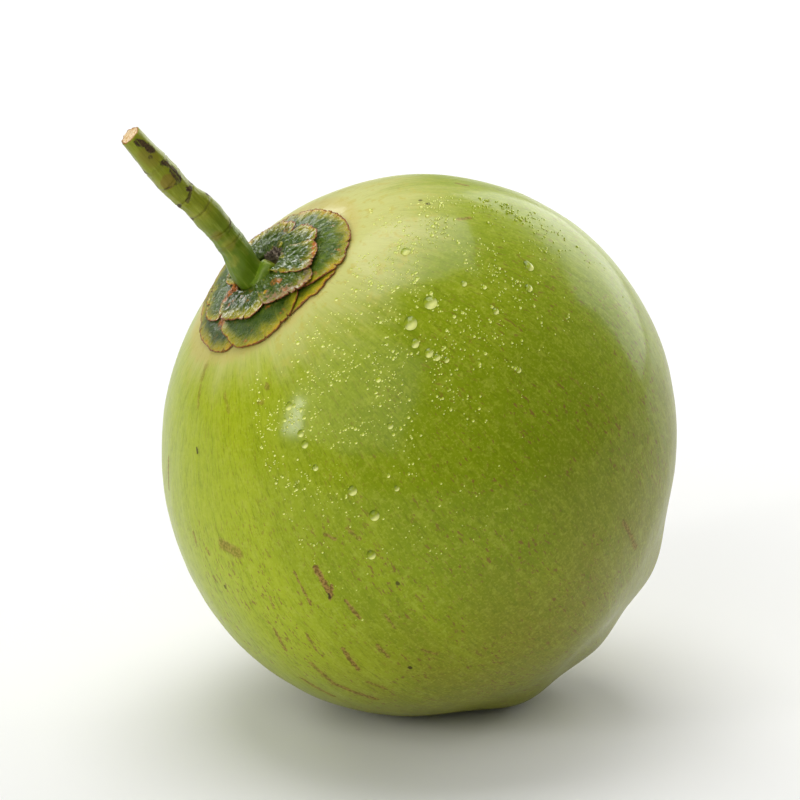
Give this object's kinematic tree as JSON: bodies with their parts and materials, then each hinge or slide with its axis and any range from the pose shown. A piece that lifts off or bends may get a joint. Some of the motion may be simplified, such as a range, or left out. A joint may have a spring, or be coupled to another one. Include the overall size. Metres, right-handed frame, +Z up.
{
  "type": "green coconut",
  "caption": "Whole young green coconut lying with its stalk end up and to one side, with a curved cut stalk, leathery scales round it and a small flat resting spot.",
  "frame": {"origin": "middle of the small flat spot that the husk rests on", "axes": "+Z up; the stalk end leans over towards -X and a little towards -Y"},
  "size_m": [0.184, 0.1706, 0.2103],
  "materials": {
    "husk": "smooth waxy green skin over fibre, paler round the stalk end, semi-gloss",
    "stalk": "smooth green stalk with dark brown rings, satin, pale fibrous cut end",
    "lower_scales": "leathery green scales with yellow rims and dry brown edges, semi-gloss",
    "upper_scales": "wrinkled dark green scales with torn dry brown edges, semi-gloss",
    "dried_bract": "dry papery brown scrap, matte",
    "water": "clear water drops, glossy"
  },
  "bodies": {
    "root": {"husk": "husk", "stalk": "stalk", "lower_scale_1": "lower_scales", "lower_scale_2": "lower_scales", "lower_scale_3": "lower_scales", "upper_scale_1": "upper_scales", "upper_scale_2": "upper_scales", "upper_scale_3": "upper_scales", "dried_bract": "dried_bract"}
  },
  "joints": []
}
